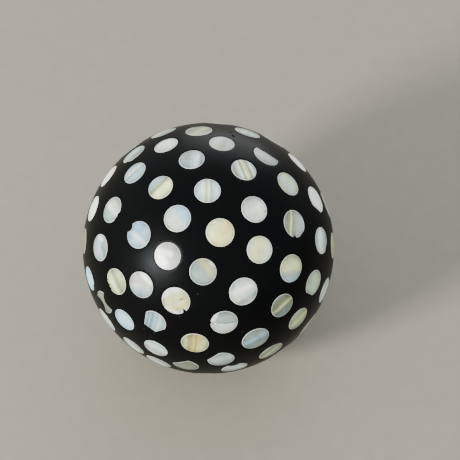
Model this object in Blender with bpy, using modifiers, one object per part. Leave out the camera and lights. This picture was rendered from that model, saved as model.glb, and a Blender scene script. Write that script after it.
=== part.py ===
"""Decorative sphere: a cast black resin ball with round shell discs let into its skin.

The discs lie in rows about a tilted pole, as a maker sets them by hand: each row starts near
one meridian and goes on round the ball at an even pitch, and single discs sit a little off
their even place. The side that is seen most has each disc as a piece of its own in a pocket.
On the far side the discs are one with the ball: crowned facets of the same size, each with a
shallow seam round it.
"""
import math

import bmesh
import bpy
from mathutils import Matrix, Vector

# Ball. The flat spot underneath keeps it from rolling, and the origin is at its middle.
BALL_DIAMETER = 0.100
FLAT_DIAMETER = 0.013
FLAT_SIDES = 24

# Shell discs, ground nearly flush with the ball: a disc's crown is a little flatter than the ball.
DISC_DIAMETER = 0.0104
DISC_THICKNESS = 0.0015
DISC_CROWN = 0.0002
DISC_SIDES = 14
FIT_GAP = 0.0003
FAR_DISC_SIDES = 10
FAR_SEAM_DEPTH = 0.0002

# Rows of discs, with distances along the skin.
ROW_GAP = 0.0057
DISC_GAP = 0.0055
POLE_DISC_GAP = 0.0044
POLE_ROWS = (1, 2)
FIRST_ROW = 0.25
LAST_ROW = 0.40
POLE_TURN = 212
POLE_TILT = 44

# Where each row starts, in degrees round the pole. Rows past the end start as the last one does.
ROW_STARTS = (110, 283, 291, 297, 294, 290, 287, 290)

# How far discs were set off their even place, in millimetres along and across their row.
HAND_SET = {
    0: {0: (0, 1)},
    1: {0: (-2, -6), 1: (2, -2), 2: (2.5, 1.5), 3: (-1, 1.5), 4: (0, -0.5), 5: (-0.5, 0.5), 6: (-0.5, 0),
        7: (-1, 4.5)},
    2: {0: (1, -5), 1: (0, 1), 2: (1, 0.5), 3: (-1, 0), 4: (-4.5, 2), 5: (-4.5, 1), 6: (-5, -3), 7: (-3, -2),
        8: (-1.5, 0.5), 9: (1, -2), 10: (2.5, 0.5), 11: (3, 3), 12: (3, 2), 13: (2, 1)},
    3: {3: (3, -3), 4: (1, 4), 5: (-1.5, -0.5), 6: (1, 0.5), 7: (0.5, 0.5), 8: (-1, -0.5), 9: (0, 0.5),
        10: (-0.5, -2), 11: (1, -1), 12: (1, -0.5), 13: (-1, 1)},
    4: {5: (2, -4), 6: (0, -3), 7: (-0.5, -0.5), 8: (0, 1.5), 9: (0.5, 2.5), 10: (-1, 0), 11: (0, -0.5),
        12: (0.5, 0.5), 13: (-2, -3), 14: (-1, 2), 15: (-1, 3)},
    5: {7: (0, -4), 8: (-1.5, 1.5), 9: (0, 0.5), 10: (-1, 0), 11: (-0.5, 1), 12: (0, 1), 13: (2, 2)},
    6: {8: (-1, 3), 9: (-1.5, -1), 10: (0, 1)},
}
MILLIMETRE = 0.001

# Resin left between neighbouring pockets, down to their floors, and the most rounds of sliding
# that give it to crowded discs. Each slide goes a little past what is needed.
LEAST_LAND = 0.0004
SLIDING_ROUNDS = 400
SLIDE_EXTRA = 1.01

# The middle of the side that is seen most, and how many of its discs are pieces of their own.
FACE_TURN_ANGLE = -90
FACE_RISE_ANGLE = 52
SEPARATE_DISCS = 59

# Points that keep the skin round where no disc lies.
SKIN_POINTS = 420
SKIN_CLEARANCE = 0.0022

SMOOTH_ANGLE = math.radians(25)

BALL_RADIUS = BALL_DIAMETER / 2
FLAT_RADIUS = FLAT_DIAMETER / 2
DISC_RADIUS = DISC_DIAMETER / 2
POCKET_RADIUS = DISC_RADIUS + FIT_GAP
POCKET_DEPTH = DISC_THICKNESS + FIT_GAP
BALL_CENTRE = Vector((0, 0, math.sqrt(BALL_RADIUS ** 2 - FLAT_RADIUS ** 2)))
DOWN = Vector((0, 0, -1))


def clear_scene():
    for item in list(bpy.data.objects):
        bpy.data.objects.remove(item, do_unlink=True)


def new_collection(name):
    collection = bpy.data.collections.new(name)
    bpy.context.scene.collection.children.link(collection)
    return collection


def plain_material(name, colour, roughness, metallic=0.0):
    material = bpy.data.materials.new(name)
    material.use_nodes = True
    shader = material.node_tree.nodes["Principled BSDF"]
    shader.inputs["Base Color"].default_value = (*colour, 1.0)
    shader.inputs["Roughness"].default_value = roughness
    shader.inputs["Metallic"].default_value = metallic
    return material


def on_ball(polar, turn):
    """Direction from the ball's middle, from the angle off the pole and the turn about it."""
    flat = Vector((math.sin(polar) * math.cos(turn), math.sin(polar) * math.sin(turn), math.cos(polar)))
    tilt = Matrix.Rotation(math.radians(POLE_TILT), 3, "Y")
    spin = Matrix.Rotation(math.radians(POLE_TURN), 3, "Z")
    return spin @ tilt @ flat


def row_places(row):
    """Yields the place of each disc in a row, as its number and its direction."""
    row_pitch = (DISC_DIAMETER + ROW_GAP) / BALL_RADIUS
    polar = (row + FIRST_ROW) * row_pitch
    gap = POLE_DISC_GAP if row in POLE_ROWS else DISC_GAP
    row_radius = BALL_RADIUS * math.sin(polar)
    count = max(1, int(math.tau * row_radius / (DISC_DIAMETER + gap)))
    start = math.radians(ROW_STARTS[min(row, len(ROW_STARTS) - 1)])
    for number in range(count):
        along, across = HAND_SET.get(row, {}).get(number, (0, 0))
        turn = start + math.tau * number / count + along * MILLIMETRE / row_radius
        yield number, on_ball(polar + across * MILLIMETRE / BALL_RADIUS, turn)


def rim_height(radius):
    """Height over the ball's middle of a circle of this radius that lies in the skin."""
    return math.sqrt(BALL_RADIUS ** 2 - radius ** 2)


def slide_apart(places):
    """Moves crowded discs over the skin until resin is left between them and round the flat."""
    floor_height = rim_height(POCKET_RADIUS) - POCKET_DEPTH
    nearest = (2 * POCKET_RADIUS + LEAST_LAND) / floor_height
    nearest_flat = (POCKET_RADIUS + FLAT_RADIUS + LEAST_LAND) / floor_height
    for _ in range(SLIDING_ROUNDS):
        moved = False
        for first in range(len(places)):
            short = nearest_flat - (places[first] - DOWN).length
            if short > 0:
                push = (places[first] - DOWN).normalized() * short * SLIDE_EXTRA
                places[first] = (places[first] + push).normalized()
                moved = True
            for second in range(first):
                away = places[first] - places[second]
                if away.length >= nearest:
                    continue
                push = away.normalized() * (nearest - away.length) / 2 * SLIDE_EXTRA
                places[first] = (places[first] + push).normalized()
                places[second] = (places[second] - push).normalized()
                moved = True
        if not moved:
            break
    return places


def lay_out_discs():
    """Names and directions of all discs, in two lists: pieces of their own, and one with the ball."""
    row_pitch = (DISC_DIAMETER + ROW_GAP) / BALL_RADIUS
    rows = int(math.pi / row_pitch - FIRST_ROW - LAST_ROW) + 1
    names = []
    places = []
    for row in range(rows):
        for number, place in row_places(row):
            names.append(f"disc_{row}_{number:02d}")
            places.append(place)
    places = slide_apart(places)
    height = math.radians(FACE_RISE_ANGLE)
    turn = math.radians(FACE_TURN_ANGLE)
    face = Vector((math.cos(height) * math.cos(turn), math.cos(height) * math.sin(turn), math.sin(height)))
    seen_first = sorted(zip(names, places), key=lambda disc: -disc[1].dot(face))
    return seen_first[:SEPARATE_DISCS], seen_first[SEPARATE_DISCS:]


def disc_matrix(direction):
    """Turns a disc's own axes so that its crown faces out of the ball."""
    turn = Vector((0, 0, 1)).rotation_difference(direction)
    return turn.to_matrix()


def rim_points(direction, radius, sides):
    frame = disc_matrix(direction)
    for side in range(sides):
        angle = math.tau * side / sides
        yield frame @ Vector((radius * math.cos(angle), radius * math.sin(angle), rim_height(radius)))


def skin_points(centres):
    """Even points over the ball that keep clear of every disc and of the flat."""
    golden_turn = math.pi * (3 - math.sqrt(5))
    reach = (POCKET_RADIUS + SKIN_CLEARANCE) / BALL_RADIUS
    flat_reach = (FLAT_RADIUS + SKIN_CLEARANCE) / BALL_RADIUS
    for index in range(SKIN_POINTS):
        height = 1 - 2 * (index + 0.5) / SKIN_POINTS
        ring = math.sqrt(1 - height ** 2)
        turn = golden_turn * index
        point = Vector((ring * math.cos(turn), ring * math.sin(turn), height))
        if point.angle(DOWN) < flat_reach:
            continue
        if all(point.angle(centre) > reach for centre in centres):
            yield point * BALL_RADIUS


def add_ring(mesh, points):
    return [mesh.verts.new(BALL_CENTRE + point) for point in points]


def join_cap(mesh, ring):
    """Makes one face of the hull's triangles inside a ring."""
    inside = set(ring)
    cap = [face for face in ring[0].link_faces if inside.issuperset(face.verts)]
    found = set(cap)
    while cap:
        face = cap.pop()
        for edge in face.edges:
            for neighbour in edge.link_faces:
                if neighbour not in found and inside.issuperset(neighbour.verts):
                    found.add(neighbour)
                    cap.append(neighbour)
    return bmesh.ops.dissolve_faces(mesh, faces=list(found))["region"][0]


def sink_pocket(mesh, ring, direction):
    floor = bmesh.ops.extrude_discrete_faces(mesh, faces=[join_cap(mesh, ring)])["faces"][0]
    bmesh.ops.translate(mesh, verts=list(floor.verts), vec=-direction * POCKET_DEPTH)


def raise_far_disc(mesh, ring, direction):
    """Draws the cap in to the disc's size below the skin, then lifts its middle to the crown."""
    disc = bmesh.ops.extrude_discrete_faces(mesh, faces=[join_cap(mesh, ring)])["faces"][0]
    axis_point = BALL_CENTRE + direction * rim_height(POCKET_RADIUS)
    for vert in disc.verts:
        vert.co = axis_point + (vert.co - axis_point) * (DISC_RADIUS / POCKET_RADIUS)
    bmesh.ops.translate(mesh, verts=list(disc.verts), vec=-direction * FAR_SEAM_DEPTH)
    middle = bmesh.ops.poke(mesh, faces=[disc])["verts"][0]
    middle.co = BALL_CENTRE + direction * (rim_height(DISC_RADIUS) + DISC_CROWN)


def make_ball(collection, separate, fused):
    """The cast ball: the hull of all rims, with near pockets sunk and far discs raised in it."""
    mesh = bmesh.new()
    pockets = [(add_ring(mesh, rim_points(d, POCKET_RADIUS, DISC_SIDES)), d) for _, d in separate]
    far_discs = [(add_ring(mesh, rim_points(d, POCKET_RADIUS, FAR_DISC_SIDES)), d) for _, d in fused]
    flat = add_ring(mesh, rim_points(DOWN, FLAT_RADIUS, FLAT_SIDES))
    add_ring(mesh, skin_points([direction for _, direction in separate + fused]))
    bmesh.ops.convex_hull(mesh, input=mesh.verts)
    join_cap(mesh, flat)
    for ring, direction in pockets:
        sink_pocket(mesh, ring, direction)
    for ring, direction in far_discs:
        raise_far_disc(mesh, ring, direction)
    bmesh.ops.recalc_face_normals(mesh, faces=mesh.faces)
    data = bpy.data.meshes.new("ball")
    mesh.to_mesh(data)
    mesh.free()
    data.shade_smooth()
    data.set_sharp_from_angle(angle=SMOOTH_ANGLE)
    data.materials.append(plain_material("black_resin", (0.012, 0.011, 0.010), 0.25))
    ball = bpy.data.objects.new("ball", data)
    collection.objects.link(ball)


def disc_profile():
    """Half section of a disc, from its crown down its edge: a line that the Screw modifier turns."""
    points = (
        (0, DISC_CROWN),
        (DISC_RADIUS, 0),
        (DISC_RADIUS, -DISC_THICKNESS),
        (0, -DISC_THICKNESS),
    )
    data = bpy.data.meshes.new("shell_disc")
    edges = [(index, index + 1) for index in range(len(points) - 1)]
    data.from_pydata([(x, 0, z) for x, z in points], edges, [])
    data.materials.append(plain_material("shell", (0.78, 0.79, 0.74), 0.22))
    return data


def make_discs(collection, separate):
    """One object for each disc, all of one mesh, let into its pocket."""
    profile = disc_profile()
    for name, direction in separate:
        disc = bpy.data.objects.new(name, profile)
        disc.matrix_world = disc_matrix(direction).to_4x4()
        disc.location = BALL_CENTRE + direction * rim_height(DISC_RADIUS)
        turned = disc.modifiers.new("turned", "SCREW")
        turned.steps = DISC_SIDES
        turned.render_steps = DISC_SIDES
        turned.use_merge_vertices = True
        turned.merge_threshold = 0.00005
        turned.use_smooth_shade = True
        collection.objects.link(disc)


def main():
    clear_scene()
    collection = new_collection("decorative_sphere")
    separate, fused = lay_out_discs()
    make_ball(collection, separate, fused)
    make_discs(collection, separate)


main()
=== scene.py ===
"""Looks of the decorative sphere: a black resin ball with mother-of-pearl discs let into its skin.

The solids give each disc's place. Here the ball gets its ground skin, with a well for every disc,
and each disc its own outline, with the chips and flats that the photograph shows, and its own
piece of shell, with growth bands that lie the way the photograph shows them.
"""

import math
import random
from collections import namedtuple

import bpy
import numpy as np
from mathutils import Matrix, Vector, noise
from mathutils.geometry import delaunay_2d_cdt


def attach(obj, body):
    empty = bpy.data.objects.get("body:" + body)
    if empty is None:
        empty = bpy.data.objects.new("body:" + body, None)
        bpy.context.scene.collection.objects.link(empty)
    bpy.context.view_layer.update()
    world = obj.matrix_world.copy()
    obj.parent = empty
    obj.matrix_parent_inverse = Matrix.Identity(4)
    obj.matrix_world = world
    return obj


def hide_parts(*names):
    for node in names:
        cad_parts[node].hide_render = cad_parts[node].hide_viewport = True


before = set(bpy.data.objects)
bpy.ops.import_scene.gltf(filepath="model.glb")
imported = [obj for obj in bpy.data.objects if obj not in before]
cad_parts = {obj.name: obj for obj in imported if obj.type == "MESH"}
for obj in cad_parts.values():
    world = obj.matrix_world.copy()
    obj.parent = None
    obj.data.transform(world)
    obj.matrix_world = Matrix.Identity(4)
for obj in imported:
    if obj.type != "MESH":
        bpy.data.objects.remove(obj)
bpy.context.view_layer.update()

# Sizes in metres, as the solids have them.
BALL_RADIUS = 0.050
FLAT_RADIUS = 0.0065
DISC_RADIUS = 0.0052
DISC_THICKNESS = 0.0015
DISC_CROWN = 0.0002
BALL_CENTRE = Vector((0, 0, math.sqrt(BALL_RADIUS ** 2 - FLAT_RADIUS ** 2)))

# The photograph's view: where the ball lies in it, in pixels, and how high and far off the camera is.
PHOTO_SIZE = 460
BALL_AT = (208.5, 248.2)
BALL_RADIUS_SEEN = 125.7
VIEW_ELEVATION = math.radians(52)
VIEW_DISTANCE = 0.75
SENSOR_WIDTH = 36
VIEW_RIGHT = Vector((1, 0, 0))
VIEW_UP = Vector((0, math.sin(VIEW_ELEVATION), math.cos(VIEW_ELEVATION)))
VIEW_FORWARD = Vector((0, math.cos(VIEW_ELEVATION), -math.sin(VIEW_ELEVATION)))
FOCAL_PIXELS = BALL_RADIUS_SEEN * math.sqrt(VIEW_DISTANCE ** 2 - BALL_RADIUS ** 2) / BALL_RADIUS

# A disc's mesh: its steps round, and the rings of its top, as shares of its radius. A flawed outline
# has more steps, and a top with marks has more rings.
RIM_STEPS = 72
FLAWED_RIM_STEPS = 180
TOP_RINGS = (0.10, 0.20, 0.30, 0.40, 0.50, 0.59, 0.67, 0.74, 0.80, 0.85, 0.885, 0.92, 0.96)
PLAIN_TOP_RINGS = (0.25, 0.50, 0.72, 0.885, 0.95)

# What grinding leaves, in metres: the rounded edge of a disc and of the resin's lip round it, the
# seam between them, the bed under a disc, and traces of ripple in the skin and, so many to its
# radius, in each disc.
EDGE_ROUND = 0.00014
LIP = 0.00012
SEAM = 0.00005
BED = 0.0001
WELL_DEPTH = DISC_THICKNESS + BED
SKIN_RIPPLE = 0.000012
RIPPLE_LENGTH = 0.007
DISC_RIPPLE = 0.000006
DISC_RIPPLES = 2

# How far a disc's outline strays from round, as a share of its radius, in how many waves, and the
# least share of its full height that a wave has.
OUTLINE_WOBBLE = 0.005
OUTLINE_WAVES = (2, 3, 5)
LEAST_WAVE = 0.3

# The skin's mesh: how far apart its points lie and how clear of a rim they keep, in metres, how many
# more are laid out than the area needs, how near a disc's middle they are looked at, in radians, and
# how close two of them have to lie to be one.
SKIN_STEP = 0.0010
SKIN_CLEARANCE = 0.0006
SKIN_CROWDING = 1.15
SKIN_POINTS = round(4 * math.pi * (BALL_RADIUS / SKIN_STEP) ** 2 * SKIN_CROWDING)
NEAR_DISC = 0.2
LEAST_SPACING = 1e-9

# How far from its corner the middle of a rounded edge lies, as a share of its radius, and how sharp
# a corner has to be to show as one.
ROUND_MIDDLE = 1 - math.sqrt(0.5)
SHARP_ANGLE = math.radians(50)

# How big the seen discs are that differ from the rest, as shares of the usual size.
SIZES = {
    "disc_1_06": 0.95, "disc_1_07": 0.95, "disc_2_01": 0.97, "disc_2_02": 0.92, "disc_2_03": 0.92,
    "disc_2_04": 0.93, "disc_2_05": 0.95, "disc_2_06": 1.06, "disc_2_07": 0.98, "disc_2_08": 1.03,
    "disc_2_09": 0.96, "disc_2_10": 0.95, "disc_2_11": 0.92, "disc_2_12": 0.97, "disc_2_13": 0.96,
    "disc_3_04": 0.96, "disc_3_05": 0.95, "disc_3_06": 1.03, "disc_3_08": 1.06, "disc_3_11": 0.95,
    "disc_3_12": 0.94, "disc_4_08": 1.07, "disc_4_09": 0.96, "disc_4_10": 1.04, "disc_4_11": 1.03,
    "disc_4_12": 0.98, "disc_5_09": 0.97, "disc_5_12": 1.05, "disc_5_13": 0.95,
}

# How far from the ball's middle the crowns lie of the discs that are one with its solid, from and to,
# and the digits to which the doubled corners of a crown agree.
FAR_CROWN = (0.04984, 0.04995)
SAME_CROWN = 5

# Round bites out of a disc's outline: the direction as the photograph shows it, in degrees, then
# the depth and the bite's own radius, as shares of the disc's radius.
BITES = {
    "disc_0_00": ((143, 0.22, 0.42),),
    "disc_1_00": ((-36, 0.12, 0.40), (-58, 0.10, 1.4)),
    "disc_2_03": ((18, 0.74, 0.60), (206, 0.72, 0.72)),
    "disc_2_12": ((234, 0.12, 0.50),),
    "disc_4_11": ((-52, 0.06, 3.0),),
    "disc_5_07": ((96, 0.30, 0.50),),
    "disc_5_10": ((250, 0.14, 6.0),),
    "disc_5_11": ((-50, 0.10, 3.0),),
}

# Straight cuts across a disc's edge, from one direction to another as seen, counting to the left.
FLATS = {
    "disc_1_02": ((168, 238),),
    "disc_2_05": ((129, 194), (194, 276), (276, 324)),
    "disc_4_06": ((62, 172),),
    "disc_4_07": ((108, 183),),
    "disc_4_13": ((-20, 137),),
    "disc_5_12": ((-112, -68),),
}

# Narrow nicks: where they begin and end, as seen, where the deepest point is, and how deep,
# as a share of the disc's radius.
NICKS = {
    "disc_1_02": ((161, 174, 168, 0.10), (196, 210, 203, 0.13), (224, 237, 231, 0.12)),
    "disc_2_02": ((-68, -52, -60, 0.16),),
    "disc_2_06": ((-60, -45, -47, 0.34),),
    "disc_3_07": ((176, 187, 181, 0.10),),
    "disc_4_11": ((-95, -80, -87, 0.18),),
}

# Marks on the shell: a soft stroke between two places in the photograph, in pixels, its half width
# as a share of the disc's radius, and how strong it is. Stains are the shell's own colour; the white
# strokes are painted highlights, the sheen of the light on the shell; the dark strokes are painted
# shade in pits, nicks and notches, but on disc_2_03 a real brownish film.
MARKS = {
    "disc_0_00": (("sheen", (133, 233), (146, 245), 0.22, 0.3),),
    "disc_1_01": (("sheen", (99, 236), (102, 239), 0.20, 0.8),
                  ("shade", (101.3, 236.8), (101.5, 237.4), 0.07, 0.8)),
    "disc_1_03": (("sheen", (142.5, 274), (150.5, 283), 0.22, 1.0),),
    "disc_1_04": (("sheen", (158, 250), (164, 263), 0.30, 0.9),
                  ("sheen", (163, 252), (170, 254), 0.22, 0.7),
                  ("stain", (171, 253.5), (173, 253.5), 0.16, 0.3)),
    "disc_2_00": (("sheen", (91, 217), (94.5, 199), 0.12, 0.7),),
    "disc_2_03": (("shade", (101, 301), (106, 308), 0.30, 0.45),),
    "disc_2_06": (("sheen", (164, 296), (168, 290), 0.18, 0.9),
                  ("sheen", (168, 290), (180, 288.5), 0.14, 0.9),
                  ("sheen", (166, 308), (177, 313), 0.14, 0.8),
                  ("stain", (178, 300.5), (184.5, 297), 0.20, 0.45),
                  ("stain", (180.2, 299.7), (182.6, 298.9), 0.11, 1.0),
                  ("shade", (180.8, 299.6), (182.2, 299.1), 0.08, 0.6)),
    "disc_2_11": (("sheen", (158.5, 146), (163.5, 141.8), 0.12, 0.9),
                  ("sheen", (163.5, 141.8), (171, 139.8), 0.12, 0.9)),
    "disc_2_07": (("sheen", (210.5, 262.3), (213.2, 265.3), 0.10, 0.7),),
    "disc_2_08": (("sheen", (215.3, 222.3), (215.7, 222.7), 0.07, 0.9),),
    "disc_3_07": (("sheen", (212.8, 320.5), (216, 314.8), 0.18, 0.9),
                  ("sheen", (214.8, 323.6), (215.4, 323.4), 0.09, 0.9),
                  ("shade", (211.6, 321.9), (217, 322.3), 0.05, 0.6)),
    "disc_3_08": (("sheen", (232, 293.5), (252.5, 285.5), 0.17, 0.8),
                  ("sheen", (238, 299.5), (238.6, 299.3), 0.07, 0.5)),
    "disc_3_10": (("shade", (265, 211.5), (266, 211.5), 0.07, 0.7),),
    "disc_4_11": (("shade", (293.8, 236.6), (294.6, 236.0), 0.09, 0.8),),
}

# The kinds of marks, how far past its half width a stroke fades out, and a least squared length, so
# that a dot has one too.
MARK_KINDS = ("sheen", "stain", "shade")
STROKE_SOFTNESS = 1.6
LEAST_RUN = 1e-12

# Shell colours.
WHITE = (0.90, 0.93, 0.88)
PEARL = (0.68, 0.80, 0.69)
SILVER = (0.36, 0.44, 0.41)
BLUSH = (0.62, 0.61, 0.56)
ICE = (0.36, 0.60, 0.70)
SKY = (0.26, 0.50, 0.70)
SEA = (0.33, 0.52, 0.44)
MIST = (0.21, 0.29, 0.29)
SLATE = (0.19, 0.28, 0.33)
CREAM = (0.72, 0.76, 0.36)
HONEY = (0.76, 0.64, 0.20)
LIME = (0.38, 0.46, 0.22)
SAGE = (0.21, 0.24, 0.14)
OLIVE = (0.11, 0.12, 0.06)
FAWN = (0.36, 0.35, 0.25)
TAN = (0.22, 0.19, 0.11)
OCHRE = (0.46, 0.37, 0.10)
STAIN = (0.30, 0.20, 0.06)

# How each kind of shell is banded: the bands' colours from left to right, or from top to bottom.
SHELLS = {
    "sky": ((0.0, SKY), (0.35, SKY), (0.55, ICE), (1.0, SKY)),
    "ice": ((0.0, PEARL), (0.25, ICE), (0.6, SKY), (1.0, ICE)),
    "cloudy": ((0.0, ICE), (0.42, PEARL), (0.5, MIST), (0.58, ICE), (1.0, SEA)),
    "white": ((0.0, WHITE), (0.5, WHITE), (0.65, PEARL), (1.0, WHITE)),
    "pale_silver": ((0.0, SILVER), (0.28, PEARL), (0.5, WHITE), (0.75, PEARL), (1.0, PEARL)),
    "pearl": ((0.0, PEARL), (0.35, SILVER), (0.6, PEARL), (1.0, ICE)),
    "silver": ((0.0, SILVER), (0.4, PEARL), (0.7, SILVER), (1.0, MIST)),
    "mist": ((0.0, SILVER), (0.3, SILVER), (0.48, ICE), (0.7, MIST), (1.0, SILVER)),
    "blush": ((0.0, BLUSH), (0.4, BLUSH), (0.55, PEARL), (0.75, ICE), (1.0, SEA)),
    "bright_slant": ((0.0, SILVER), (0.3, PEARL), (0.5, WHITE), (0.65, SEA), (1.0, SEA)),
    "sky_to_cream": ((0.0, SKY), (0.3, ICE), (0.55, PEARL), (0.8, PEARL), (1.0, LIME)),
    "cream": ((0.0, CREAM), (0.3, CREAM), (0.6, HONEY), (1.0, CREAM)),
    "pale_cream": ((0.0, WHITE), (0.18, WHITE), (0.27, CREAM), (0.6, CREAM), (0.8, HONEY), (1.0, WHITE)),
    "pale_green": ((0.0, PEARL), (0.3, CREAM), (0.6, CREAM), (0.85, PEARL), (1.0, WHITE)),
    "green_cream": ((0.0, PEARL), (0.3, LIME), (0.55, CREAM), (0.8, LIME), (1.0, PEARL)),
    "green_silver": ((0.0, LIME), (0.4, SILVER), (0.7, LIME), (1.0, SILVER)),
    "warm_to_sea": ((0.0, CREAM), (0.25, CREAM), (0.55, SILVER), (0.8, SEA), (1.0, SILVER)),
    "sage": ((0.0, LIME), (0.3, CREAM), (0.46, LIME), (0.56, SAGE), (0.7, LIME), (1.0, CREAM)),
    "sage_to_slate": ((0.0, LIME), (0.45, CREAM), (0.75, SILVER), (1.0, ICE)),
    "silver_bands": ((0.0, SILVER), (0.20, ICE), (0.34, PEARL), (0.46, LIME), (0.54, PEARL), (0.61, FAWN),
                     (0.72, ICE), (0.86, PEARL), (1.0, ICE)),
    "bright_band": ((0.0, SILVER), (0.4, MIST), (0.52, SILVER), (0.6, ICE), (0.7, PEARL), (0.85, MIST),
                    (1.0, ICE)),
    "brown_half": ((0.0, SILVER), (0.3, PEARL), (0.48, LIME), (0.58, TAN), (0.75, SILVER), (1.0, SILVER)),
    "olive_bands": ((0.0, SILVER), (0.15, SAGE), (0.24, SILVER), (0.34, PEARL), (0.43, SAGE),
                    (0.52, CREAM), (0.62, LIME), (0.70, TAN), (0.80, PEARL), (0.90, SILVER), (1.0, MIST)),
    "olive_middle": ((0.0, SILVER), (0.10, SAGE), (0.24, SAGE), (0.32, CREAM), (0.42, SAGE), (0.54, FAWN),
                     (0.66, SILVER), (0.86, SILVER), (1.0, PEARL)),
    "olive_slant": ((0.0, SILVER), (0.25, SAGE), (0.38, SAGE), (0.50, CREAM), (0.62, SAGE), (0.76, MIST),
                    (1.0, SILVER)),
    "ochre_band": ((0.0, LIME), (0.18, CREAM), (0.27, FAWN), (0.37, OCHRE), (0.46, HONEY), (0.52, OCHRE),
                   (0.60, HONEY), (0.8, CREAM), (1.0, LIME)),
    "parted": ((0.0, ICE), (0.30, MIST), (0.36, SAGE), (0.41, OLIVE), (0.46, LIME), (0.62, CREAM),
               (1.0, LIME)),
    "slate_bands": ((0.0, ICE), (0.10, SLATE), (0.16, ICE), (0.24, SLATE), (0.31, ICE), (0.40, SLATE),
                    (0.50, ICE), (0.60, SKY), (0.68, PEARL), (0.84, ICE), (1.0, PEARL)),
    "bluish_slant": ((0.0, ICE), (0.2, PEARL), (0.48, WHITE), (0.62, PEARL), (0.85, SILVER),
                     (1.0, PEARL)),
    "bright_edge": ((0.0, MIST), (0.30, SILVER), (0.46, SILVER), (0.52, MIST), (0.58, PEARL),
                    (1.0, PEARL)),
}

# Which shell each seen disc is cut from, how its bands lie in the photograph, where 90 is upright,
# and how light the shell is.
DISC_SHELLS = {
    "disc_0_00": ("sky", 35, 0.6), "disc_1_00": ("bright_slant", -45, 0.62),
    "disc_1_01": ("mist", 100, 0.8), "disc_1_02": ("sage", 118, 0.74), "disc_1_03": ("blush", -5, 0.5),
    "disc_1_04": ("white", 70, 0.3), "disc_1_05": ("sky_to_cream", -50, 0.72),
    "disc_1_06": ("parted", 45, 1.1), "disc_1_07": ("cloudy", 40, 0.62), "disc_2_00": ("white", 70, 1.3),
    "disc_2_01": ("cream", 88, 0.26), "disc_2_02": ("ice", 105, 1.3),
    "disc_2_03": ("green_silver", 110, 0.36), "disc_2_04": ("sky", 130, 0.88),
    "disc_2_05": ("slate_bands", 76, 0.55), "disc_2_06": ("pale_cream", 25, 0.58),
    "disc_2_07": ("warm_to_sea", -50, 0.52), "disc_2_08": ("cream", 55, 0.95),
    "disc_2_09": ("silver_bands", 90, 0.95), "disc_2_10": ("bright_band", 85, 0.8),
    "disc_2_11": ("pale_silver", 25, 0.7), "disc_2_12": ("silver", 45, 0.66),
    "disc_2_13": ("white", 60, 1.3), "disc_3_03": ("pearl", 120, 0.8), "disc_3_04": ("silver", 135, 0.7),
    "disc_3_05": ("pearl", 150, 0.63), "disc_3_06": ("ochre_band", 82, 0.55),
    "disc_3_07": ("bright_edge", 5, 0.6), "disc_3_08": ("bluish_slant", 35, 0.75),
    "disc_3_09": ("pale_green", 75, 0.92), "disc_3_10": ("pale_silver", 35, 0.82),
    "disc_3_11": ("olive_bands", 112, 1.05), "disc_3_12": ("brown_half", 60, 0.38),
    "disc_3_13": ("green_cream", 30, 0.42), "disc_3_14": ("silver", 30, 0.8),
    "disc_4_05": ("silver", 150, 0.7), "disc_4_06": ("green_silver", 165, 0.28),
    "disc_4_07": ("silver", 10, 0.52), "disc_4_08": ("mist", 30, 0.56),
    "disc_4_09": ("olive_slant", 40, 0.72), "disc_4_10": ("sage_to_slate", 5, 1.0),
    "disc_4_11": ("olive_middle", 90, 1.2), "disc_4_12": ("green_silver", 128, 1.3),
    "disc_4_13": ("silver", 150, 0.38), "disc_4_14": ("silver", 160, 0.75),
    "disc_4_15": ("silver", 170, 0.8), "disc_5_07": ("silver", 5, 0.7),
    "disc_5_08": ("olive_slant", 38, 0.9), "disc_5_09": ("green_cream", 45, 0.76),
    "disc_5_10": ("green_silver", 75, 1.25), "disc_5_11": ("silver", 92, 1.15),
    "disc_5_12": ("white", 115, 1.3), "disc_5_13": ("white", 130, 1.3), "disc_5_14": ("pearl", 150, 0.8),
    "disc_6_07": ("pearl", 30, 0.8), "disc_6_08": ("cream", 50, 0.7), "disc_6_09": ("pearl", 65, 1.3),
    "disc_6_10": ("cream", 88, 0.58), "disc_6_11": ("pearl", 100, 0.8),
}

# The shells that an unseen disc may be cut from, and how light they may be.
HIDDEN_SHELLS = ("sky", "ice", "cloudy", "pearl", "silver", "mist", "sky_to_cream", "cream", "green_cream",
                 "green_silver", "warm_to_sea", "sage", "silver_bands", "brown_half", "bright_slant")
HIDDEN_LIGHTNESS = (0.85, 1.1)

# How far apart two discs lie in the shell's pattern, in disc radii.
PATTERN_STEP = 3.7

# Air holes in the resin, and crumbs of shell cast into it, by their place in the photograph, in
# pixels, and their radius, in metres.
AIR_HOLES = ((230.5, 132.3, 0.00034), (232.6, 135.6, 0.00044), (233.8, 136.6, 0.00040))
CRUMBS = ((144.1, 328.5, 0.00036), (151.0, 337.2, 0.00026))

# An air hole's rings, from the inside: how far out each lies and how deep, as shares of its radius.
HOLE_RINGS = ((0.8, 2.8), (1.0, 0.3), (1.2, 0))
HOLE_DEPTH = 3.0
HOLE_CLEARANCE = 1.5
HOLE_STEPS = 12

# A crumb's ragged outline, as shares of its radius, how far it stands out of the skin and how deep
# it goes, in metres.
CRUMB_STEPS = 9
CRUMB_RAGGED = (0.6, 1.1)
CRUMB_PROUD = 0.00001
CRUMB_DEPTH = 0.0002

# A disc's edge, as shares of its radius: where its white rim comes in, partly paler ground shell and
# partly a painted highlight on the rounded edge; where the painted shade begins that darkens its top
# towards the edge, and where it is full; and where the fine line inside it begins, is strongest and ends.
PALE_RIM_AND_HIGHLIGHT = (0.93, 0.975)
PAINTED_EDGE_SHADE = (0.35, 0.92)
FINE_LINE = (0.845, 0.88, 0.915)

# Faint tints of the shell, as a colour ramp.
TINTS = ((0.32, (1.0, 0.95, 0.93)), (0.5, (0.96, 1.0, 0.96)), (0.68, (0.93, 0.98, 1.0)))

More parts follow.
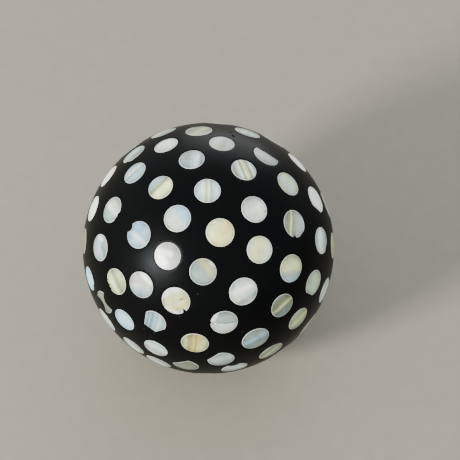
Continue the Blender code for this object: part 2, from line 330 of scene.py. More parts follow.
# The two sets of polishing scratches: which way each runs, in radians, and how drawn out it is. Then
# their tilt, and how fine they are in the shell and in the resin.
SCRATCHES = ((0.5, 0.05), (-0.9, 0.07))
SCRATCH_TILT = 0.3
SHELL_SCRATCHES = 14.0
RESIN_SCRATCHES = 900.0

# Colours of the resin, of its gloss and of the dust in it, then the floor's colours and width.
RESIN_DARK = (0.0010, 0.0012, 0.0014)
RESIN_PALE = (0.0022, 0.0022, 0.0021)
RESIN_SHEEN = (0.86, 0.95, 1.0)
DUST = (0.020, 0.021, 0.020)
FLOOR_DARK = (0.188, 0.176, 0.138)
FLOOR_PALE = (0.222, 0.208, 0.163)
FLOOR_WIDTH = 12

# The lamps: the way to each from the ball, in degrees round from +X and up, how far off it is and how
# wide, in metres, its power and its colour. Then the even light from all round.
LAMPS = {
    "key": (219, 24, 1.6, 0.30, 66, (1.0, 0.97, 0.92)),
    "back_card": (80, 14, 1.5, 1.0, 16, (1.0, 1.0, 1.0)),
}
ROOM_COLOUR = (0.92, 0.97, 1.0)
ROOM_STRENGTH = 1.35

Disc = namedtuple("Disc", "name direction right up radii")
Ring = namedtuple("Ring", "radii heights share")


def view_ray(x, y):
    """Direction from the camera through a place in the photograph."""
    middle = PHOTO_SIZE / 2
    sideways = VIEW_RIGHT * ((x - middle) / FOCAL_PIXELS)
    upward = VIEW_UP * ((middle - y) / FOCAL_PIXELS)
    return (VIEW_FORWARD + sideways + upward).normalized()


CAMERA_PLACE = BALL_CENTRE - view_ray(*BALL_AT) * VIEW_DISTANCE


def seen_at(x, y):
    """Direction from the ball's middle to the point of its skin at a place in the photograph."""
    ray = view_ray(x, y)
    to_middle = BALL_CENTRE - CAMERA_PLACE
    along = to_middle.dot(ray)
    off = (to_middle - ray * along).length
    reach = along - math.sqrt(max(0, BALL_RADIUS ** 2 - off ** 2))
    return (CAMERA_PLACE + ray * reach - BALL_CENTRE).normalized()


def rim_height(radius):
    """Height over the ball's middle of a circle of this radius that lies in the skin."""
    return math.sqrt(BALL_RADIUS ** 2 - radius ** 2)


def own_axes(direction):
    """A disc's own right and up, turned from the photograph's by the shortest way."""
    turn = (-VIEW_FORWARD).rotation_difference(direction)
    return turn @ VIEW_RIGHT, turn @ VIEW_UP


def turn_as_seen(direction, angle):
    """Angle in the disc's own plane, in radians, of a direction that the photograph shows."""
    right, up = own_axes(direction)
    shown = Matrix(((right.dot(VIEW_RIGHT), up.dot(VIEW_RIGHT)), (right.dot(VIEW_UP), up.dot(VIEW_UP))))
    seen = Vector((math.cos(math.radians(angle)), math.sin(math.radians(angle))))
    local = shown.inverted() @ seen
    return math.atan2(local.y, local.x)


def bite_edge(turn, depth, size):
    """How far out a disc reaches, as a share of its radius, past a round bite in its edge."""
    away = 1 - depth + size
    side = away * abs(math.sin(turn))
    if math.cos(turn) <= 0 or side >= size:
        return 1
    return away * math.cos(turn) - math.sqrt(size ** 2 - side ** 2)


def flat_edge(turn, start, end):
    """How far out a disc reaches past a straight cut from one turn to another."""
    half = ((end - start) % math.tau) / 2
    off = math.remainder(turn - start - half, math.tau)
    if abs(off) >= half:
        return 1
    return math.cos(half) / math.cos(off)


def nick_depth(turn, start, end, apex, depth):
    """How far a narrow nick reaches in at this turn."""
    off = math.remainder(turn - apex, math.tau)
    reach = math.remainder(end - apex, math.tau) if off > 0 else math.remainder(start - apex, math.tau)
    return depth * max(0, 1 - off / reach)


def outline(name, direction):
    """Radii of a disc's outline at even turns: hand-cut, so not quite round, less its flaws."""
    draw = random.Random(name)
    waves = [(count, OUTLINE_WOBBLE / count * draw.uniform(LEAST_WAVE, 1), draw.uniform(0, math.tau))
             for count in OUTLINE_WAVES]
    bites = [(turn_as_seen(direction, seen), depth, size) for seen, depth, size in BITES.get(name, ())]
    flats = [[turn_as_seen(direction, seen) for seen in flat] for flat in FLATS.get(name, ())]
    nicks = [([turn_as_seen(direction, seen) for seen in nick[:3]], nick[3]) for nick in NICKS.get(name, ())]
    steps = FLAWED_RIM_STEPS if bites or flats or nicks else RIM_STEPS
    radii = []
    for step in range(steps):
        turn = math.tau * step / steps
        wobble = sum(size * math.cos(count * turn + start) for count, size, start in waves)
        share = 1 - OUTLINE_WOBBLE + wobble
        for at, depth, size in bites:
            share = min(share, bite_edge(turn - at, depth, size))
        for start, end in flats:
            share = min(share, flat_edge(turn, start, end))
        for turns, depth in nicks:
            share -= nick_depth(turn, *turns, depth)
        radii.append(share * DISC_RADIUS * SIZES.get(name, 1))
    return np.array(radii)


def make_disc(name, direction):
    right, up = own_axes(direction)
    return Disc(name, direction, right, up, outline(name, direction))


def read_discs():
    """All discs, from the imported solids: those with a node, then those that are one with the ball."""
    discs = []
    for name, node in sorted(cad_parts.items()):
        if name.startswith("disc_"):
            middle = sum((vert.co for vert in node.data.vertices), Vector()) / len(node.data.vertices)
            discs.append(make_disc(name, (middle - BALL_CENTRE).normalized()))
    crowns = {}
    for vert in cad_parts["ball"].data.vertices:
        from_middle = vert.co - BALL_CENTRE
        if FAR_CROWN[0] < from_middle.length < FAR_CROWN[1]:
            crowns[tuple(round(part, SAME_CROWN) for part in from_middle)] = from_middle.normalized()
    for number, crown in enumerate(sorted(crowns, key=lambda place: (-place[2], place)), 1):
        discs.append(make_disc(f"disc_far_{number:02d}", crowns[crown]))
    return discs


def ring_points(disc, radii, height):
    """Points round a disc at these radii, each this high over its rim's plane, from the ball's middle."""
    turns = np.arange(len(radii)) * math.tau / len(radii)
    flat = np.outer(radii * np.cos(turns), disc.right) + np.outer(radii * np.sin(turns), disc.up)
    return flat + np.multiply.outer(rim_height(DISC_RADIUS) + height, np.array(disc.direction))


def skin_height(radii):
    """Height of the ball's skin over a disc's rim plane, at these distances from the disc's axis."""
    return np.sqrt(BALL_RADIUS ** 2 - radii ** 2) - rim_height(DISC_RADIUS)


def even_directions(count):
    """Even directions all round the ball, on a spiral from top to bottom."""
    number = np.arange(count)
    height = 1 - 2 * (number + 0.5) / count
    across = np.sqrt(1 - height ** 2)
    turn = number * math.pi * (3 - math.sqrt(5))
    return np.stack((across * np.cos(turn), across * np.sin(turn), height), axis=1)


def clear_of_discs(points, discs):
    """Drops the directions that lie on or close to a disc."""
    keep = np.ones(len(points), bool)
    for disc in discs:
        near = np.nonzero(points @ np.array(disc.direction) > math.cos(NEAR_DISC))[0]
        along = points[near] @ np.array(disc.right) * BALL_RADIUS
        across = points[near] @ np.array(disc.up) * BALL_RADIUS
        turns = np.arctan2(across, along) % math.tau
        steps = np.arange(len(disc.radii) + 1) * math.tau / len(disc.radii)
        reach = np.interp(turns, steps, np.append(disc.radii, disc.radii[0])) + SKIN_CLEARANCE + SEAM + LIP
        keep[near[np.hypot(along, across) < reach]] = False
    return points[keep]


def on_plane(points):
    """Lays directions out flat, seen from the bottom of the ball, with circles still round."""
    return points[:, :2] / (1 + points[:, 2:])


def air_hole_points(x, y, radius):
    """The middle of an air hole and the rings round it, as directions, with how deep each point lies."""
    middle = seen_at(x, y)
    right, up = own_axes(middle)
    points = [np.array(middle)]
    depths = [radius * HOLE_DEPTH]
    for share, depth in HOLE_RINGS:
        for step in range(HOLE_STEPS):
            turn = math.tau * step / HOLE_STEPS
            place = middle * BALL_RADIUS + (right * math.cos(turn) + up * math.sin(turn)) * radius * share
            points.append(np.array(place.normalized()))
            depths.append(radius * depth)
    return np.array(points), depths


def lay_out_skin(discs):
    """Directions of the skin's points, how deep each lies, and the first and last of each rim."""
    layers = []
    depths = []
    spans = []
    count = 0
    for disc in discs:
        radii = disc.radii + SEAM + LIP
        rim = ring_points(disc, radii, skin_height(radii))
        layers.append(rim / np.linalg.norm(rim, axis=1)[:, None])
        depths += [0] * len(rim)
        spans.append((count, count + len(rim)))
        count += len(rim)
    turns = np.arange(FLAWED_RIM_STEPS) * math.tau / FLAWED_RIM_STEPS
    height = np.full(len(turns), -BALL_CENTRE.z)
    flat = np.stack((np.cos(turns) * FLAT_RADIUS, np.sin(turns) * FLAT_RADIUS, height), axis=1) / BALL_RADIUS
    layers.append(flat)
    depths += [0] * len(flat)
    spans.append((count, count + len(flat)))
    filler = clear_of_discs(even_directions(SKIN_POINTS), discs)
    filler = filler[filler[:, 2] > -math.cos((FLAT_RADIUS + SKIN_CLEARANCE) / BALL_RADIUS)]
    for x, y, radius in AIR_HOLES:
        points, hole_depths = air_hole_points(x, y, radius)
        kept_off = (radius * HOLE_CLEARANCE + SKIN_CLEARANCE) / BALL_RADIUS
        filler = filler[filler @ points[0] < math.cos(kept_off)]
        layers.append(points)
        depths += hole_depths
    layers.append(filler)
    depths += [0] * len(filler)
    return np.concatenate(layers), np.array(depths), spans


def in_mouth(face, owner, points, discs):
    """Whether a triangle of the skin lies in the mouth of a disc's well."""
    first = owner[face[0]]
    if first < 0 or any(owner[corner] != first for corner in face[1:]):
        return False
    disc = discs[first]
    middle = points[list(face)].mean(axis=0) * BALL_RADIUS
    along = middle @ np.array(disc.right)
    across = middle @ np.array(disc.up)
    steps = len(disc.radii)
    turn = math.atan2(across, along) % math.tau * steps / math.tau
    low = int(turn) % steps
    share = turn - int(turn)
    edge = disc.radii[low] * (1 - share) + disc.radii[(low + 1) % steps] * share
    return math.hypot(along, across) < edge + SEAM + LIP


def skin_faces(directions, spans, discs):
    """Triangles of the skin, all round the mouths of the wells."""
    owner = np.full(len(directions), -1)
    for number, (first, last) in enumerate(spans[:-1]):
        owner[first:last] = number
    rims = []
    for first, last in spans:
        rims += [(point, first + (point + 1 - first) % (last - first)) for point in range(first, last)]
    laid_flat = [Vector(point) for point in on_plane(directions)]
    _, _, triangles, sources, _, _ = delaunay_2d_cdt(laid_flat, rims, [], 0, LEAST_SPACING)
    faces = [tuple(sources[corner][0] for corner in triangle) for triangle in triangles]
    return [face for face in faces if not in_mouth(face, owner, directions, discs)]


def add_band(faces, outer, inner, count):
    """Joins two rings of points, given by their first numbers, with a band of faces."""
    for step in range(count):
        following = (step + 1) % count
        faces.append((outer + step, outer + following, inner + following, inner + step))


def add_fan(faces, ring, middle, count, inward=True):
    """Joins a ring of points to the one in its middle."""
    for step in range(count):
        following = (step + 1) % count
        pair = (ring + step, ring + following) if inward else (ring + following, ring + step)
        faces.append((*pair, middle))


def smooth_mesh(name, points, faces):
    """A mesh that is smooth all over but for its sharp corners."""
    mesh = bpy.data.meshes.new(name)
    mesh.from_pydata(points.tolist(), [], faces)
    mesh.shade_smooth()
    mesh.set_sharp_from_angle(angle=SHARP_ANGLE)
    return mesh


def well_rings(disc):
    """The rings of a disc's well: the middle of its rounded lip, and the top and foot of its wall."""
    wall = disc.radii + SEAM
    skin = skin_height(wall + LIP)
    half = LIP * ROUND_MIDDLE
    return [
        ring_points(disc, wall + half, skin - half),
        ring_points(disc, wall, skin - LIP),
        ring_points(disc, wall, -WELL_DEPTH),
    ]


def ball_mesh(discs):
    """The ground ball with a rounded lip, a wall and a floor for every disc's well."""
    directions, depths, spans = lay_out_skin(discs)
    faces = skin_faces(directions, spans, discs)
    ripple = np.array([noise.noise(Vector(point) * (BALL_RADIUS / RIPPLE_LENGTH)) for point in directions])
    heights = BALL_RADIUS + ripple * SKIN_RIPPLE - SKIN_RIPPLE - depths
    flat_first, flat_last = spans[-1]
    heights[flat_first:flat_last] = BALL_RADIUS
    points = [directions * heights[:, None]]
    count = len(directions)
    for disc, (first, last) in zip(discs, spans):
        steps = last - first
        outer = first
        for ring in well_rings(disc):
            points.append(ring)
            add_band(faces, outer, count, steps)
            outer = count
            count += steps
        points.append(np.array([disc.direction]) * (rim_height(DISC_RADIUS) - WELL_DEPTH))
        add_fan(faces, outer, count, steps)
        count += 1
    points.append(np.array([[0, 0, -BALL_CENTRE.z]]))
    add_fan(faces, flat_first, count, flat_last - flat_first, inward=False)
    return smooth_mesh("ball_skin", np.concatenate(points), faces)


def disc_top(disc, radii, seed):
    """Height of a disc's ground top over its rim's plane: a low crown with a trace of ripple."""
    turns = np.arange(len(radii)) * math.tau / len(radii)
    crown = DISC_CROWN * (1 - (radii / DISC_RADIUS) ** 2)
    across = radii * np.cos(turns) / DISC_RADIUS * DISC_RIPPLES
    upward = radii * np.sin(turns) / DISC_RADIUS * DISC_RIPPLES
    return crown + np.array([noise.noise(Vector((x, y, seed))) * DISC_RIPPLE for x, y in zip(across, upward)])


def disc_rings(disc, seed):
    """The rings of a disc from near its middle out over its rounded edge and down its wall."""
    shares = TOP_RINGS if disc.name in MARKS else PLAIN_TOP_RINGS
    rings = [Ring(disc.radii * share, disc_top(disc, disc.radii * share, seed), share) for share in shares]
    edge_top = disc_top(disc, disc.radii - EDGE_ROUND, seed)
    half = EDGE_ROUND * ROUND_MIDDLE
    rings.append(Ring(disc.radii - EDGE_ROUND, edge_top, 1 - EDGE_ROUND / DISC_RADIUS))
    rings.append(Ring(disc.radii - half, edge_top - half, 1))
    rings.append(Ring(disc.radii, edge_top - EDGE_ROUND, 1))
    rings.append(Ring(disc.radii, np.full(len(disc.radii), -DISC_THICKNESS), 1))
    return rings


def stroke_strength(disc, places, mark):
    """How strongly a soft stroke shows at places in a disc's own plane."""
    _, start, end, half_width, strength = mark
    ends = [seen_at(*point) * BALL_RADIUS for point in (start, end)]
    first, last = [np.array((point.dot(disc.right), point.dot(disc.up))) for point in ends]
    run = last - first
    along = np.clip((places - first) @ run / max(run @ run, LEAST_RUN), 0, 1)
    off = np.linalg.norm(places - first - along[:, None] * run, axis=1) / (half_width * DISC_RADIUS)
    near = np.clip(1 - off / STROKE_SOFTNESS, 0, 1)
    return strength * near * near * (3 - 2 * near)


def add_values(mesh, name, values):
    """Gives a mesh's points a value each, for its material."""
    mesh.attributes.new(name, "FLOAT", "POINT").data.foreach_set("value", np.asarray(values, np.float32))


def add_grain(mesh, points, bands_turn, seed):
    """Gives a disc's points their place across and along its bands, and its own number as the third."""
    spin = Matrix.Rotation(math.pi / 2 - bands_turn, 2)
    grain = points[:, :2] / DISC_RADIUS @ np.array(spin).T
    own_place = np.column_stack((grain, np.full(len(grain), seed))).astype(np.float32)
    mesh.attributes.new("grain", "FLOAT_VECTOR", "POINT").data.foreach_set("vector", own_place.ravel())


def add_marks(mesh, disc, points):
    """Gives a disc's points the strength of each kind of mark in its shell."""
    marks = MARKS.get(disc.name, ())
    for kind in MARK_KINDS:
        strokes = [stroke_strength(disc, points[:, :2], mark) for mark in marks if mark[0] == kind]
        add_values(mesh, kind, np.max(strokes, axis=0) if strokes else np.zeros(len(points)))


def disc_mesh(disc, bands_turn, seed, lightness):
    """A disc with a ground top, a rounded edge, a straight wall and a flat back, in its own axes."""
    steps = len(disc.radii)
    turns = np.arange(steps) * math.tau / steps
    spokes = np.stack((np.cos(turns), np.sin(turns)), axis=1)
    points = [np.array([[0, 0, disc_top(disc, np.zeros(1), seed)[0]]])]
    edges = [np.zeros(1)]
    faces = []
    ring = 1
    add_fan(faces, ring, 0, steps)
    for number, made in enumerate(disc_rings(disc, seed)):
        points.append(np.column_stack((spokes * made.radii[:, None], made.heights)))
        edges.append(np.full(steps, made.share))
        if number:
            add_band(faces, ring + steps, ring, steps)
            ring += steps
    points.append(np.array([[0, 0, -DISC_THICKNESS]]))
    edges.append(np.ones(1))
    add_fan(faces, ring, ring + steps, steps, inward=False)
    points = np.concatenate(points)
    mesh = smooth_mesh(disc.name + "_shell", points, faces)
    add_grain(mesh, points, bands_turn, seed)
    add_values(mesh, "edge", np.concatenate(edges))
    add_values(mesh, "lightness", np.full(len(points), lightness))
    add_marks(mesh, disc, points)
    return mesh


def feed(tree, node, values):
    """Gives a node's sockets values of their own, or links other nodes' sockets to them."""
    for name, value in values.items():
        if isinstance(value, bpy.types.NodeSocket):
            tree.links.new(value, node.inputs[name])
        else:
            node.inputs[name].default_value = value


def put(tree, kind, values=None, **settings):
    """Adds a node with its settings, and feeds its sockets."""
    node = tree.nodes.new(kind)
    for name, value in settings.items():
        setattr(node, name, value)
    feed(tree, node, values or {})
    return node


def combine(tree, operation, first, second):
    """Works out one value from two, each a number or a socket, and returns its socket."""
    return put(tree, "ShaderNodeMath", {0: first, 1: second}, operation=operation).outputs[0]


def noise_value(tree, place, **values):
    """Noise over a place, as a value's socket."""
    return put(tree, "ShaderNodeTexNoise", {"Vector": place, **values}).outputs["Fac"]


def spread_value(tree, source, low, high, from_low=0.0, from_high=1.0):
    """Maps a value to a new range and returns the socket."""
    ranges = {"From Min": from_low, "From Max": from_high, "To Min": low, "To Max": high}
    return put(tree, "ShaderNodeMapRange", {"Value": source, **ranges}).outputs[0]


def point_value(tree, name):
    """Socket of a value that the mesh carries at its points."""
    return put(tree, "ShaderNodeAttribute", attribute_name=name).outputs["Fac"]


def mix_colour(tree, blend, factor, first, second, clamp=False):
    """Mixes two colours, each a colour or a socket, and returns the mix's socket."""
    settings = {"data_type": "RGBA", "blend_type": blend, "clamp_result": clamp}
    return put(tree, "ShaderNodeMix", {0: factor, 6: first, 7: second}, **settings).outputs[2]


def ramp_colour(tree, factor, stops, interpolation="LINEAR"):
    """Turns a value into a colour by stops, each a position and a colour, and returns the socket."""
    node = put(tree, "ShaderNodeValToRGB", {"Fac": factor})
    node.color_ramp.interpolation = interpolation
    made = node.color_ramp.elements
    made[0].position, made[-1].position = stops[0][0], stops[-1][0]
    made[0].color, made[-1].color = (*stops[0][1], 1), (*stops[-1][1], 1)
    for position, colour in stops[1:-1]:
        made.new(position).color = (*colour, 1)
    return node.outputs["Color"]


def new_group(name, inputs, outputs):
    """A shader node group with named sockets, and its input and output nodes."""
    tree = bpy.data.node_groups.new(name, "ShaderNodeTree")
    for socket, (kind, value) in inputs.items():
        made = tree.interface.new_socket(socket, in_out="INPUT", socket_type="NodeSocket" + kind)
        if value is not None:
            made.default_value = value
    for socket, kind in outputs.items():
        tree.interface.new_socket(socket, in_out="OUTPUT", socket_type="NodeSocket" + kind)
    return tree, tree.nodes.new("NodeGroupInput"), tree.nodes.new("NodeGroupOutput")


def use_group(tree, group, values):
    """Places a node group in a material, and feeds its sockets."""
    return put(tree, "ShaderNodeGroup", values, node_tree=group)


def growth_lines_group():
    """Fine lines and soft clouds of a piece of shell, along its bands."""
    tree, given, out = new_group(
        "growth_lines",
        {"Grain": ("Vector", None), "Lines": ("Float", 14.0), "Wander": ("Float", 0.25)},
        {"Lines": "Float", "Clouds": "Float", "Across": "Float"},
    )
    grain = given.outputs["Grain"]
    drift = combine(tree, "SUBTRACT", noise_value(tree, grain, Scale=1.1, Detail=2.0), 0.5)
    bend = combine(tree, "MULTIPLY", drift, given.outputs["Wander"])
    parts = put(tree, "ShaderNodeSeparateXYZ", {0: grain})
    across = combine(tree, "ADD", parts.outputs["X"], bend)
    along = combine(tree, "MULTIPLY", parts.outputs["Y"], 0.12)
    laid = put(tree, "ShaderNodeCombineXYZ", {"X": across, "Y": along, "Z": parts.outputs["Z"]}).outputs[0]
    feed(tree, out, {
        "Lines": noise_value(tree, laid, Scale=given.outputs["Lines"], Detail=3.0, Roughness=0.6),
        "Clouds": noise_value(tree, grain, Scale=1.0, Detail=2.0, Distortion=0.4),
        "Across": spread_value(tree, across, 0.0, 1.0, -1.0, 1.0),
    })
    return tree


def polish_group():
    """Fine straight scratches from grinding and polishing, two sets of them, as a height."""
    tree, given, out = new_group(
        "polish_scratches",
        {"Place": ("Vector", None), "Fineness": ("Float", 60.0)},
        {"Height": "Float"},
    )
    heights = []
    for turn, stretch in SCRATCHES:
        lie = {"Rotation": (SCRATCH_TILT, turn, turn), "Scale": (1.0, stretch, 1.0)}
        laid = put(tree, "ShaderNodeMapping", {"Vector": given.outputs["Place"], **lie}).outputs[0]
        heights.append(noise_value(tree, laid, Scale=given.outputs["Fineness"], Detail=2.0))
    feed(tree, out, {"Height": combine(tree, "ADD", *heights)})
    return tree


def dust_group():
    """Sparse specks of dust: 1 on a speck, 0 elsewhere."""
    tree, given, out = new_group(
        "dust_specks",
        {"Place": ("Vector", None), "Crowding": ("Float", 300.0), "Size": ("Float", 0.09)},
        {"Specks": "Float"},
    )
    crowd = {"Vector": given.outputs["Place"], "Scale": given.outputs["Crowding"], "Randomness": 1.0}
    cells = put(tree, "ShaderNodeTexVoronoi", crowd)
    near = combine(tree, "LESS_THAN", cells.outputs["Distance"], given.outputs["Size"])
    parted = put(tree, "ShaderNodeSeparateColor", {0: cells.outputs["Color"]})
    rare = combine(tree, "GREATER_THAN", parted.outputs["Red"], 0.85)
    feed(tree, out, {"Specks": combine(tree, "MULTIPLY", near, rare)})
    return tree


def disc_edge_and_painted_light_group():
    """A disc's white rim, partly paler ground shell and partly a painted highlight, the fine broken line just
    inside it, and painted shade that darkens its top towards the edge.
    """
    tree, given, out = new_group(
        "ground_edge",
        {"Edge": ("Float", 0.0), "Grain": ("Vector", None)},
        {"Rim": "Float", "Line": "Float", "Fading": "Float"},
    )
    edge = given.outputs["Edge"]
    begins, strongest, ends = FINE_LINE
    inner = spread_value(tree, edge, 0.0, 1.0, begins, strongest)
    outer = spread_value(tree, edge, 1.0, 0.0, strongest, ends)
    breaks = noise_value(tree, given.outputs["Grain"], Scale=3.0, Detail=2.0)
    kept = spread_value(tree, breaks, 0.0, 1.0, 0.42, 0.56)
    feed(tree, out, {
        "Rim": spread_value(tree, edge, 0.0, 1.0, *PALE_RIM_AND_HIGHLIGHT),
        "Line": combine(tree, "MULTIPLY", combine(tree, "MULTIPLY", inner, outer), kept),
        "Fading": combine(tree, "POWER", spread_value(tree, edge, 0.0, 1.0, *PAINTED_EDGE_SHADE), 2.0),
    })
    return tree


def pearl_tints_group():
    """Faint changing tints of nacre: pinkish, greenish and bluish by turns."""
    tree, given, out = new_group("pearl_tints", {"Grain": ("Vector", None)}, {"Tint": "Color"})
    drift = noise_value(tree, given.outputs["Grain"], Scale=0.9, Detail=2.0, Distortion=0.8)
    feed(tree, out, {"Tint": ramp_colour(tree, drift, TINTS)})
    return tree


def new_material(name):
    material = bpy.data.materials.new(name)
    material.use_nodes = True
    return material, material.node_tree, material.node_tree.nodes["Principled BSDF"]


def banded_colour(tree, grain, growth, bands, groups):
    """The shell's own colour: its bands, with growth lines, clouds and tints."""
    colour = ramp_colour(tree, growth.outputs["Across"], bands, "EASE")
    tints = use_group(tree, groups["tints"], {"Grain": grain})
    for change in (
        spread_value(tree, growth.outputs["Lines"], 0.90, 1.10, 0.3, 0.7),
        spread_value(tree, growth.outputs["Clouds"], 0.82, 1.18, 0.32, 0.68),
        tints.outputs["Tint"],
        point_value(tree, "lightness"),
    ):
        colour = mix_colour(tree, "MULTIPLY", 1.0, colour, change)
    return colour


def marked_colour(tree, colour):
    """The colour with the stains that the disc's points carry, the dark strokes of painted shade, a real film
    on disc_2_03, and the white strokes of painted highlight.
    """
    stained = mix_colour(tree, "MIX", point_value(tree, "stain"), colour, (*STAIN, 1))
    # Darkening here is painted shade in pits, nicks and notches; on disc_2_03 it is a real brownish film.
    shade = spread_value(tree, point_value(tree, "shade"), 1.0, 0.0)
    shaded = mix_colour(tree, "MULTIPLY", 1.0, stained, shade)
    # White mixed in here is a painted highlight, the sheen of the light on the shell.
    return mix_colour(tree, "MIX", point_value(tree, "sheen"), shaded, (*WHITE, 1))


def edged_colour(tree, colour, grain, groups):
    """The colour with painted shade, brighter in the middle and darker towards the disc's edge, the fine
    line, and the white rim, partly a painted highlight.
    """
    edge_and_light_parts = use_group(tree, groups["edge"], {"Grain": grain, "Edge": point_value(tree, "edge")})
    # Painted shade: the top is lightened in the middle and darkened towards the edge.
    painted_shade_factor = spread_value(tree, edge_and_light_parts.outputs["Fading"], 1.12, 0.72)
    painted_shade_colour = mix_colour(tree, "MULTIPLY", 1.0, colour, painted_shade_factor)
    line = spread_value(tree, edge_and_light_parts.outputs["Line"], 1.0, 0.35)
    lined = mix_colour(tree, "MULTIPLY", 1.0, painted_shade_colour, line)
    # The white rim is partly the paler ground edge of the shell and partly a painted highlight on its rounded
    # edge.
    rim = spread_value(tree, edge_and_light_parts.outputs["Rim"], 0.0, 0.42)
    return mix_colour(tree, "MIX", rim, lined, (*WHITE, 1), clamp=True)


def shell_material(kind, bands, groups):
    """One kind of shell: bands of colour with growth lines, clouds, tints, stains, painted shade and painted
    highlights, and a white edge that is partly a painted highlight.
    """
    material, tree, shader = new_material("shell_" + kind)
    grain = put(tree, "ShaderNodeAttribute", attribute_name="grain").outputs["Vector"]
    growth = use_group(tree, groups["growth"], {"Grain": grain})
    colour = banded_colour(tree, grain, growth, bands, groups)
    colour = edged_colour(tree, marked_colour(tree, colour), grain, groups)
    scratches = use_group(tree, groups["polish"], {"Fineness": SHELL_SCRATCHES, "Place": grain})
    height = combine(tree, "ADD", growth.outputs["Lines"], scratches.outputs["Height"])
    bump = put(tree, "ShaderNodeBump", {"Strength": 0.10, "Distance": 0.0002, "Height": height})
    feed(tree, shader, {
        "Base Color": colour,
        "Roughness": spread_value(tree, growth.outputs["Clouds"], 0.26, 0.36, 0.35, 0.65),
        "Normal": bump.outputs[0],
        "IOR": 1.56,
        "Coat Weight": 0.25,
        "Coat Roughness": 0.18,
    })
    return material


def resin_material(groups):
    """Black cast resin: deep black, satin, with polishing scratches, faint clouding and dust."""
    material, tree, shader = new_material("black_resin")
    place = put(tree, "ShaderNodeTexCoord").outputs["Object"]
    clouds = noise_value(tree, place, Scale=70.0, Detail=4.0)
    tone = mix_colour(tree, "MIX", clouds, (*RESIN_DARK, 1), (*RESIN_PALE, 1))
    dust = use_group(tree, groups["dust"], {"Place": place})
    scratches = use_group(tree, groups["polish"], {"Fineness": RESIN_SCRATCHES, "Place": place})
    scratched = {"Strength": 0.12, "Distance": 0.0001, "Height": scratches.outputs["Height"]}
    feed(tree, shader, {
        "Base Color": mix_colour(tree, "MIX", dust.outputs["Specks"], tone, (*DUST, 1)),
        "Roughness": spread_value(tree, clouds, 0.33, 0.40, 0.3, 0.7),
        "Normal": put(tree, "ShaderNodeBump", scratched).outputs[0],
        "IOR": 1.50,
        "Specular IOR Level": 0.042,
        "Specular Tint": (*RESIN_SHEEN, 1),
    })
    return material


def floor_material():
    """Plain pale floor."""
    material, tree, shader = new_material("pale_floor")
    place = put(tree, "ShaderNodeTexCoord").outputs["Object"]
    grain = noise_value(tree, place, Scale=160.0, Detail=6.0)
    tone = mix_colour(tree, "MIX", grain, (*FLOOR_DARK, 1), (*FLOOR_PALE, 1))
    feed(tree, shader, {"Base Color": tone, "Roughness": 0.8})
    return material


def new_piece(name, mesh, material):
    piece = bpy.data.objects.new(name, mesh)
    bpy.context.scene.collection.objects.link(piece)
    mesh.materials.append(material)
    return piece


def place_piece(piece, node=None):
    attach(piece, "root")
    if node:
        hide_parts(node)


def make_ball(discs, groups):
    ball = new_piece("resin_ball", ball_mesh(discs), resin_material(groups))
    ball.location = BALL_CENTRE
    place_piece(ball, "ball")


def shell_of(disc):
    """A disc's kind of shell, how its bands turn and how light it is: as seen, or any on the far side."""
    if disc.name in DISC_SHELLS:
        kind, seen, lightness = DISC_SHELLS[disc.name]
        return kind, turn_as_seen(disc.direction, seen), lightness
    draw = random.Random(disc.name)
    return draw.choice(HIDDEN_SHELLS), draw.uniform(0, math.tau), draw.uniform(*HIDDEN_LIGHTNESS)


def make_discs(discs, groups):
    """One piece for each disc, laid in its well."""
    shells = {kind: shell_material(kind, bands, groups) for kind, bands in SHELLS.items()}
    for number, disc in enumerate(discs):
        kind, turn, lightness = shell_of(disc)
        mesh = disc_mesh(disc, turn, number * PATTERN_STEP, lightness)
        piece = new_piece(disc.name + "_pearl", mesh, shells[kind])
        axes = Matrix((disc.right, disc.up, disc.direction)).transposed().to_4x4()
        piece.matrix_world = Matrix.Translation(BALL_CENTRE + disc.direction * rim_height(DISC_RADIUS)) @ axes
        place_piece(piece, disc.name if disc.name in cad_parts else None)


def crumb_points(x, y, radius):
    """Points of a small ragged crumb of shell in the skin: its top ring, then its bottom ring."""
    direction = seen_at(x, y)
    right, up = own_axes(direction)
    draw = random.Random(round(x))
    top = []
    bottom = []
    for step in range(CRUMB_STEPS):
        turn = math.tau * step / CRUMB_STEPS
        side = (right * math.cos(turn) + up * math.sin(turn)) * radius * draw.uniform(*CRUMB_RAGGED)
        top.append(direction * (BALL_RADIUS + CRUMB_PROUD) + side)
        bottom.append(direction * (BALL_RADIUS - CRUMB_DEPTH) + side)
    return top + bottom


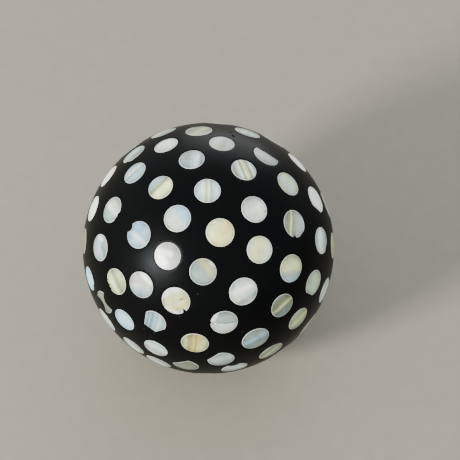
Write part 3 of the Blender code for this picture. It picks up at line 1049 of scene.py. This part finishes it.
def make_crumbs(groups):
    """Crumbs of shell that were caught in the resin."""
    points = []
    faces = []
    for crumb in CRUMBS:
        top = len(points)
        bottom = top + CRUMB_STEPS
        points += crumb_points(*crumb)
        faces.append(tuple(range(top, bottom)))
        faces.append(tuple(reversed(range(bottom, bottom + CRUMB_STEPS))))
        add_band(faces, bottom, top, CRUMB_STEPS)
    mesh = bpy.data.meshes.new("shell_crumbs")
    mesh.from_pydata(points, [], faces)
    crumbs = new_piece("shell_crumbs", mesh, shell_material("crumb", ((0, PEARL), (1, CREAM)), groups))
    crumbs.location = BALL_CENTRE
    place_piece(crumbs)


def make_floor():
    bpy.ops.mesh.primitive_plane_add(size=FLOOR_WIDTH)
    floor = bpy.context.object
    floor.name = "floor"
    floor.data.materials.append(floor_material())


def make_lamp(name, azimuth, elevation, distance, size, power, colour):
    """A soft square lamp that faces the ball. Azimuth counts round from +X."""
    turn, rise = math.radians(azimuth), math.radians(elevation)
    away = Vector((math.cos(rise) * math.cos(turn), math.cos(rise) * math.sin(turn), math.sin(rise)))
    data = bpy.data.lights.new(name, "AREA")
    data.size = size
    data.energy = power
    data.color = colour
    lamp = bpy.data.objects.new(name, data)
    bpy.context.scene.collection.objects.link(lamp)
    lamp.location = BALL_CENTRE + away * distance
    lamp.rotation_euler = away.to_track_quat("Z", "Y").to_euler()


def make_room():
    """Soft even light from all round."""
    world = bpy.data.worlds.new("soft_room")
    bpy.context.scene.world = world
    world.use_nodes = True
    background = world.node_tree.nodes["Background"]
    background.inputs["Color"].default_value = (*ROOM_COLOUR, 1)
    background.inputs["Strength"].default_value = ROOM_STRENGTH


def make_light():
    for name, lamp in LAMPS.items():
        make_lamp(name, *lamp)
    make_room()


def make_camera():
    data = bpy.data.cameras.new("camera")
    data.sensor_width = SENSOR_WIDTH
    data.lens = FOCAL_PIXELS / PHOTO_SIZE * SENSOR_WIDTH
    camera = bpy.data.objects.new("camera", data)
    bpy.context.scene.collection.objects.link(camera)
    axes = Matrix((VIEW_RIGHT, VIEW_UP, -VIEW_FORWARD)).transposed().to_4x4()
    camera.matrix_world = Matrix.Translation(CAMERA_PLACE) @ axes
    bpy.context.scene.camera = camera


def main():
    make_camera()
    make_light()
    make_floor()
    discs = read_discs()
    groups = {
        "growth": growth_lines_group(),
        "polish": polish_group(),
        "dust": dust_group(),
        "edge": disc_edge_and_painted_light_group(),
        "tints": pearl_tints_group(),
    }
    make_ball(discs, groups)
    make_discs(discs, groups)
    make_crumbs(groups)


main()
